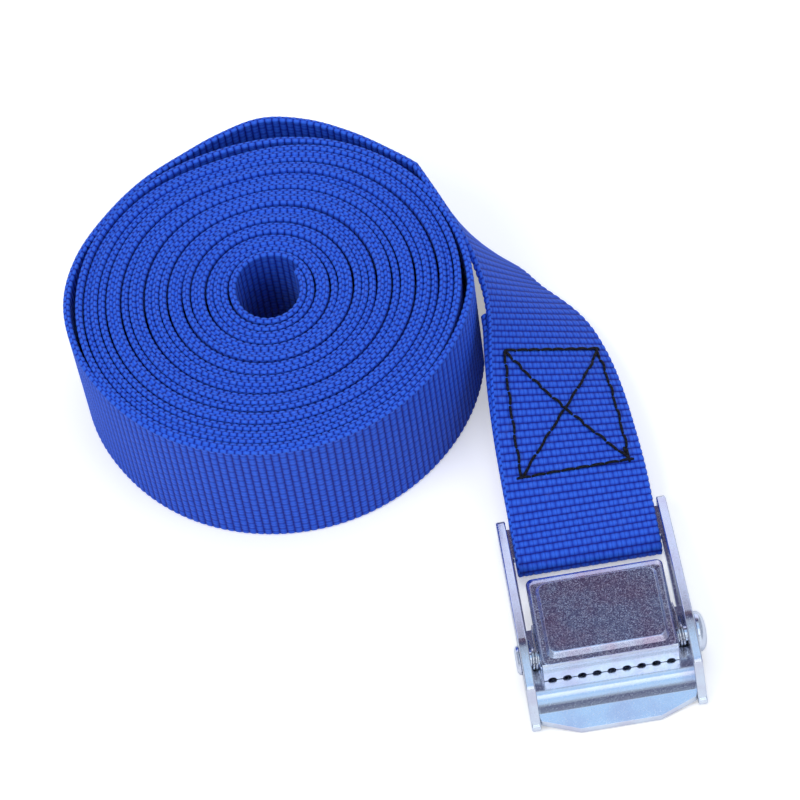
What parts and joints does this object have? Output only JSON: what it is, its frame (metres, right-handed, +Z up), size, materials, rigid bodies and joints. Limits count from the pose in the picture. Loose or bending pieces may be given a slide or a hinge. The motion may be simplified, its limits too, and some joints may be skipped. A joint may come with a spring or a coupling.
{
  "type": "cam-buckle lashing strap",
  "caption": "Webbing lashing strap wound in a roll on its edge, its sewn end twisting flat and looping round the bar of a steel buckle with a sprung toothed cam lever.",
  "frame": {"origin": "centre of the whole object's footprint on the surface it lies on: middle of its box in X and Y, with Z 0 at its underside", "axes": "+X runs across the buckle, from the roll's side to the buckle's side; +Y runs along the buckle, from its lip to the back of the roll; +Z is up, along the roll's own axis"},
  "size_m": [0.0998, 0.1228, 0.0251],
  "materials": {
    "webbing_blue": "woven polyester webbing, ribbed across, royal blue",
    "thread_black": "black bonded sewing thread",
    "zinc_plate": "pressed steel, bright blue-white zinc plate",
    "spring_wire": "drawn steel wire"
  },
  "bodies": {
    "webbing": {"webbing_roll": "webbing_blue", "webbing_outer_turn": "webbing_blue", "webbing_tail": "webbing_blue", "webbing_loop": "webbing_blue", "box_stitch": "thread_black"},
    "buckle_frame": {"buckle_frame": "zinc_plate", "pivot_rivet": "zinc_plate", "return_spring": "spring_wire"},
    "cam_lever": {"cam_lever": "zinc_plate"}
  },
  "joints": [
    {"name": "buckle_swing", "type": "hinge", "parent": "webbing", "child": "buckle_frame", "pos_m": [0.03317, -0.02439, 0.00255], "axis": [-1, 0, 0], "range_deg": [0, 120], "deforming": ["webbing_loop"]},
    {"name": "lever_press", "type": "hinge", "parent": "buckle_frame", "child": "cam_lever", "pos_m": [0.03317, -0.04909, 0.0057], "axis": [-1, 0, 0], "range_deg": [0, 22], "stiffness_Nm_per_rad": 0.05, "springref_deg": -45.84, "deforming": ["return_spring"]}
  ]
}
